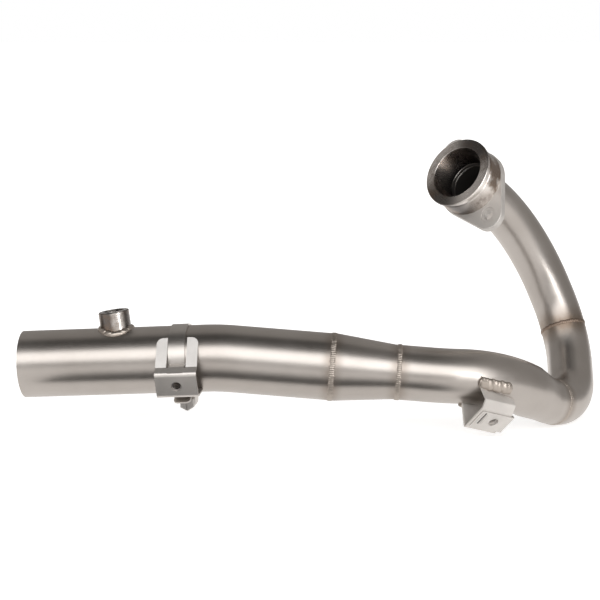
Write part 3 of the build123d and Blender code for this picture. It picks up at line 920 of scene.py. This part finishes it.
def bead_drops(node, outward):
    """A row of drops along a straight weld bead, each a little fatter than the bead."""
    points = [vertex.co for vertex in frame["nodes"][node].data.vertices]
    first = max(points, key=lambda point: (point - points[0]).length)
    last = max(points, key=lambda point: (point - first).length)
    run = last - first
    ahead = run.normalized()
    side = (outward - ahead * outward.dot(ahead)).normalized()
    across = side.cross(ahead)

    def section(share):
        """Middle, half height and half width of the bead near one end."""
        spot = first + run * share
        near = [point for point in points if abs((point - spot).dot(ahead)) < SLICE * run.length]
        heights = [point.dot(side) for point in near]
        widths = [point.dot(across) for point in near]
        middle = Vector(((max(heights) + min(heights)) / 2, (max(widths) + min(widths)) / 2, 0))
        return middle, (max(heights) - min(heights)) / 2, (max(widths) - min(widths)) / 2

    (low_end, low_height, low_width), (high_end, high_height, high_width) = map(section, END_SHARES)
    count = round(run.length / DROP_PITCH)
    places = []
    for index in range(count):
        share = FIRST_DROP + DROPS_SPAN * index / (count - 1)
        centre = low_end.lerp(high_end, share)
        spot = ahead * (first + run * share).dot(ahead) + side * centre.x + across * centre.y
        height = low_height + (high_height - low_height) * share + DROP_TALLER
        width = low_width + (high_width - low_width) * share + DROP_WIDER
        swing = DROP_SWING * math.sin(index * 2.3)
        size = Matrix.Diagonal((height / MM, 1.0, width / MM, 1.0))
        places.append(station_at(spot + (side + across) * swing, side, across) @ size)
    return row_of_drops(places, width=2 * MM, length=2.5 * DROP_PITCH, height=MM)


# %% The bracket and its beads
soften("shield_bracket", sheet_metal, "sheet_metal", 0.25 * MM)
for weld_name in ("shield_weld_front", "shield_weld_rear"):
    bead = soft_copy(weld_name, 0.0)
    join_to(bead, bead_drops(weld_name, TOWARDS_FRONT))
    paint(bead, weld_metal)
    dress(bead, weld_name + "_soft", HEADER, "weld_metal", weld_name)

# %% [markdown]
# ## The clip nut
# A clip nut is spring sheet, pushed over the bracket's plate. Its leaf has a dark slot
# with a pressed ridge on each side. A bump map could show both, but not from the side.
# The slot is cut with a thin box and its walls get a painted shade of near-black, and each
# ridge is a stretched sphere, sunk into the leaf by half. The leaf's plane comes from the
# nut's own axis in the record.

# %% The plane of the clip's leaf
LEAF_RISE = 5.1 * MM
LEAF_TURN = math.radians(20.7)
LEAF_ROLL = math.radians(-21.3)

thread = [item for item in frame["record"]["mounts"] if item["name"] == "shield_bracket_thread"][0]
clip_axis = Vector(thread["axis"])
leaf_x = Vector((math.cos(LEAF_TURN), math.sin(LEAF_TURN), 0))
leaf_x = Matrix.Rotation(LEAF_ROLL, 3, clip_axis) @ leaf_x
leaf = station_at(Vector(thread["pos_m"]) + clip_axis * LEAF_RISE, leaf_x, clip_axis)
print("the leaf is at", [round(value, 4) for value in leaf.translation])

# %% The slot
SLOT_PLACE = Vector((-15.0 * MM, 1.8 * MM, 0.6 * MM))
SLOT_SIZE = Vector((1.7 * MM, 14.0 * MM, 1.1 * MM))
SLOT_CEILING = 0.9 * MM


def slot_box():
    """The box that cuts the slot across the leaf."""
    bpy.ops.mesh.primitive_cube_add(size=1.0)
    box = bpy.context.object
    box.matrix_world = leaf @ Matrix.Translation(SLOT_PLACE)
    box.scale = SLOT_SIZE
    settle(box)
    return box


def in_the_slot(face):
    """Whether a face of the clip is a wall or the bottom of its slot."""
    spot = leaf.inverted() @ face.center
    offset = spot - SLOT_PLACE
    beside = abs(offset.x) < SLOT_SIZE.x / 2 + 0.1 * MM
    between = abs(offset.y) < SLOT_SIZE.y / 2 + 0.2 * MM
    return beside and between and 0 < spot.z < SLOT_CEILING


# %% The ridges beside the slot
RIDGE_PLACES = (
    (-17.6 * MM, 1.0 * MM, 0.85 * MM),
    (-12.4 * MM, 1.0 * MM, 0.85 * MM),
)
RIDGE_SIZE = (0.9 * MM, 8.2 * MM, 1.1 * MM)


def pressed_ridges():
    """One stretched sphere for each ridge, sunk into the leaf."""
    ridges = []
    for place in RIDGE_PLACES:
        bpy.ops.mesh.primitive_uv_sphere_add(segments=16, ring_count=8, radius=1.0)
        ridge = bpy.context.object
        ridge.matrix_world = leaf @ Matrix.Translation(place)
        ridge.scale = RIDGE_SIZE
        settle(ridge)
        ridge.data.materials.append(sheet_metal)
        smooth(ridge, DROP_SMOOTH)
        ridges.append(ridge)
    return ridges


# %% The clip nut
clip = soft_copy("shield_clip_nut", 0.2 * MM)
cut(clip, slot_box())
# The slot's walls and bottom get a painted shade of near-black
paint(clip, sheet_metal, soot_and_shade_black, in_the_slot)
join_to(clip, *pressed_ridges())
dress(clip, "shield_clip_nut_soft", HEADER, "nut_metal", "shield_clip_nut")

# %% [markdown]
# ## The floor
# The header lies on a pale floor in a pale room. Satin metal shows what it mirrors, and
# in an all-white room it looks like plaster. A photographer darkens what the metal sees
# and keeps it out of the picture. So there are two floors, one close under the other: a
# pale one that the camera sees, and one for reflections only, which ends in the dark.

# %% A wide plane, and what only reflections see
FLOOR_SPAN = 60.0

low = solid_box[0][2]


def reflections_only(thing):
    """Hides a thing from all but the metal that mirrors it."""
    thing.visible_camera = False
    thing.visible_diffuse = False
    thing.visible_shadow = False


def floor_plane(name, drop, finish):
    """A wide plane on the ground, or a little below it."""
    bpy.ops.object.select_all(action="DESELECT")
    bpy.ops.mesh.primitive_plane_add(size=FLOOR_SPAN, location=(0, 0, low - drop))
    plane = bpy.context.object
    settle(plane)
    plane.name = name
    plane.data.materials.append(finish)
    return plane


# %% The floor that the camera sees
WHITE = (1, 1, 1, 1)
MIDDLE_OF_HEADER = (-0.13, 0.0, low)


def pale_floor_finish():
    """White that glows less near the header, a painted soft shade round it, under which the lamps'
    real shadow shows.
    """
    material, shader, place = new_material("pale_floor")
    distance = place.offset_from(MIDDLE_OF_HEADER).length()
    # Less glow near the header: a painted soft shade round it
    glow = distance.fade(0.2, 1.0).blend((0.62, 0.62, 0.62, 1), WHITE)
    feed(shader, Base_Color=(0.8, 0.8, 0.8, 1), Roughness=0.9)
    feed(shader, Emission_Color=glow, Emission_Strength=1.0)
    return material


floor = floor_plane("floor", 0.0, pale_floor_finish())
floor.visible_glossy = False
print("floor at", round(low, 4))

# %% The floor that the metal mirrors
def mirrored_floor_finish():
    """A grey table top that ends in the dark in front and on both sides."""
    material, shader, place = new_material("mirrored_floor")
    across = abs(place.coordinate(0) + 0.1)
    depth = place.coordinate(1)
    table = depth.fade(-1.1, -0.5) * (1.0 - across.fade(0.7, 1.6) * (1.0 - depth.fade(0.5, 1.5)))
    top = depth.fade(0.0, 0.9).blend((0.46, 0.45, 0.44, 1), (0.85, 0.83, 0.81, 1))
    top = across.fade(0.45, 1.0).blend(top, (0.30, 0.29, 0.285, 1))
    glow = table.blend((0.10, 0.097, 0.093, 1), top)
    colour = table.blend((0.3, 0.3, 0.3, 1), (0.55, 0.54, 0.53, 1))
    feed(shader, Base_Color=colour, Roughness=0.9)
    feed(shader, Emission_Color=glow, Emission_Strength=1.0)
    return material


MIRRORED_DROP = 0.1 * MM

mirrored_floor = floor_plane("mirrored_floor", MIRRORED_DROP, mirrored_floor_finish())
reflections_only(mirrored_floor)
print("mirrored floor at", round(low - MIRRORED_DROP, 4))

# %% [markdown]
# ## Black cards and a dark panel
# The dark band low on the long pipe and the dark stripe on its top are both reflections.
# Paint on the tube would stay there when the camera moves, so things that only reflections
# see make them: a black card on the floor in front of the pipe, in four strips that fade
# out, and a panel overhead. The card is a painted shade, standing in for the shade on the
# floor in front of the pipe. Both thin out towards the elbow and the head pipe, which stay
# bright.

# %% Black cards in front of the pipe
BLACK = (0.01, 0.01, 0.01, 1)
CARD_HEIGHT = 0.5 * MM
CARD_START = [(0.035, -0.05), (0.0, -0.066)]

# Gap from the pipe's line, width, and cover, with the lengths in millimetres
CARD_STRIPS = ((56, 32, 1.0), (88, 26, 0.85), (114, 26, 0.55), (140, 26, 0.3))


def card_finish(cover):
    """A dull black that thins out towards the elbow."""
    material, shader, place = new_material("black_card")
    thin = (1.0 - place.coordinate(0).fade(-0.02, 0.03) * 0.85) * cover
    feed(shader, Base_Color=BLACK, Roughness=1.0, Specular_IOR_Level=0.0, Alpha=thin)
    return material


def black_card(points, gap, width, cover):
    """A strip on the floor beside a line, a painted shade that only reflections see."""
    bpy.ops.object.select_all(action="DESELECT")
    bpy.ops.mesh.primitive_plane_add(size=1.0)
    card = bpy.context.object
    card.name = "black_card"
    height = low + CARD_HEIGHT
    corners = []
    for x, y in points:
        corners += [(x, y - gap, height), (x, y - gap - width, height)]
    faces = []
    for index in range(0, len(corners) - 2, 2):
        faces.append((index, index + 1, index + 3, index + 2))
    card.data.clear_geometry()
    card.data.from_pydata(corners, [], faces)
    card.data.materials.append(card_finish(cover))
    reflections_only(card)


card_line = list(CARD_START)
for station in (starts["reducer_cone"], starts["outlet_pipe"], last_run, outlet_end):
    card_line.append((station.translation.x, station.translation.y))
for gap, width, cover in CARD_STRIPS:
    black_card(card_line, gap * MM, width * MM, cover)
print(len(CARD_STRIPS), "black cards")

# %% The dark panel overhead
PANEL_SPAN = 4.0
PANEL_HEIGHT = 0.87


def panel_finish():
    """Nearly black over the long pipe, thinner over the head pipe, and clear beyond."""
    material, shader, place = new_material("overhead_panel")
    across = place.coordinate(0)
    depth = place.coordinate(1)
    right_end = 1.0 - across.fade(0.02, 0.16) * 0.4 - across.fade(0.35, 0.6) * 0.6
    cover = right_end * across.fade(-1.2, -0.9)
    cover = cover * depth.fade(-0.93, -0.83) * (1.0 - depth.fade(0.0, 0.24))
    feed(shader, Base_Color=BLACK, Roughness=1.0, Specular_IOR_Level=0.0, Alpha=cover)
    feed(shader, Emission_Color=(0.012, 0.011, 0.010, 1), Emission_Strength=1.0)
    return material


bpy.ops.object.select_all(action="DESELECT")
bpy.ops.mesh.primitive_plane_add(size=PANEL_SPAN, location=(0, 0, PANEL_HEIGHT))
panel = bpy.context.object
panel.name = "overhead_panel"
settle(panel)
panel.data.materials.append(panel_finish())
reflections_only(panel)
print("panel at", PANEL_HEIGHT)

# %% [markdown]
# ## Light, room and camera
# A long soft box in front makes the bright stripe along the tubes, a narrow one on the
# right lights the elbow, and a weak one above lights the backs. One big lamp could light
# all of it, but the stripe's width comes from the box's height. The camera looks a little
# down from the near side, from far away, so that the pipe's ends keep their size.

# %% Soft boxes
AIM = Vector((-0.14, -0.03, -0.13))

# Name, place from the aim, width and height, watts, and whether the metal mirrors it
SOFT_BOXES = (
    ("front_box", (0.0, -2.3, 1.36), (4.6, 1.8), 56.0, True),
    ("side_strip", (1.25, -1.85, 0.25), (0.35, 1.1), 7.0, True),
    ("top_box", (0.0, 0.9, 2.0), (1.6, 1.2), 8.0, False),
)


def soft_box(name, offset, size, power, mirrored):
    """An area light that looks at the header."""
    lamp = bpy.data.lights.new(name, "AREA")
    lamp.shape = "RECTANGLE"
    lamp.size, lamp.size_y = size
    lamp.energy = power
    holder = bpy.data.objects.new(name, lamp)
    bpy.context.scene.collection.objects.link(holder)
    place = AIM + Vector(offset)
    holder.location = place
    holder.rotation_euler = (AIM - place).to_track_quat("-Z", "Y").to_euler()
    holder.visible_glossy = mirrored


for box in SOFT_BOXES:
    soft_box(*box)
print(len(SOFT_BOXES), "soft boxes")

# %% The room that the metal mirrors
# Which output of its node each of the two is
CAMERA_RAY = 0
WORLD_DIRECTION = 0


def room_colour(direction):
    """Grey walls, white low behind the header and darker in front of it."""
    height = direction.coordinate(2)
    depth = direction.coordinate(1)
    horizon = depth.fade(0.45, 0.8).blend((0.40, 0.385, 0.37, 1), WHITE)
    room = height.fade(0.04, 0.14).blend(horizon, (0.36, 0.345, 0.33, 1))
    front = (1.0 - depth.fade(-0.5, -0.1)) * (1.0 - height.fade(0.1, 0.2))
    return front.blend(room, (0.26, 0.247, 0.235, 1))


world = bpy.data.worlds.new("studio_room")
bpy.context.scene.world = world
world.use_nodes = True
tree = world.node_tree
direction = Place(tree, Wire(tree).node("ShaderNodeTexCoord", output=WORLD_DIRECTION).socket)
seen = Wire(tree).node("ShaderNodeLightPath", output=CAMERA_RAY)
background = tree.nodes["Background"]
feed(background, Color=seen.blend(room_colour(direction), WHITE), Strength=1.0)
bpy.context.scene.view_settings.view_transform = "Standard"
print("the room has", len(tree.nodes), "nodes")

# %% Camera
DISTANCE = 1.82
TILT = math.radians(8)
AIM_RIGHT = -0.14318
AIM_ABOVE = -0.11674
VIEW_WIDTH = 0.5472
SENSOR = 36.0

right = Vector((1, 0, 0))
above = Vector((0, math.sin(TILT), math.cos(TILT)))
back = Vector((0, -math.cos(TILT), math.sin(TILT)))
eye = back * DISTANCE + right * AIM_RIGHT + above * AIM_ABOVE
lens = bpy.data.cameras.new("camera")
lens.sensor_width = SENSOR
lens.lens = SENSOR * DISTANCE / VIEW_WIDTH
lens.clip_end = 50.0
camera = bpy.data.objects.new("camera", lens)
bpy.context.scene.collection.objects.link(camera)
camera.matrix_world = Matrix.Translation(eye) @ Matrix((right, above, back)).transposed().to_4x4()
bpy.context.scene.camera = camera
print("camera at", [round(value, 3) for value in eye])
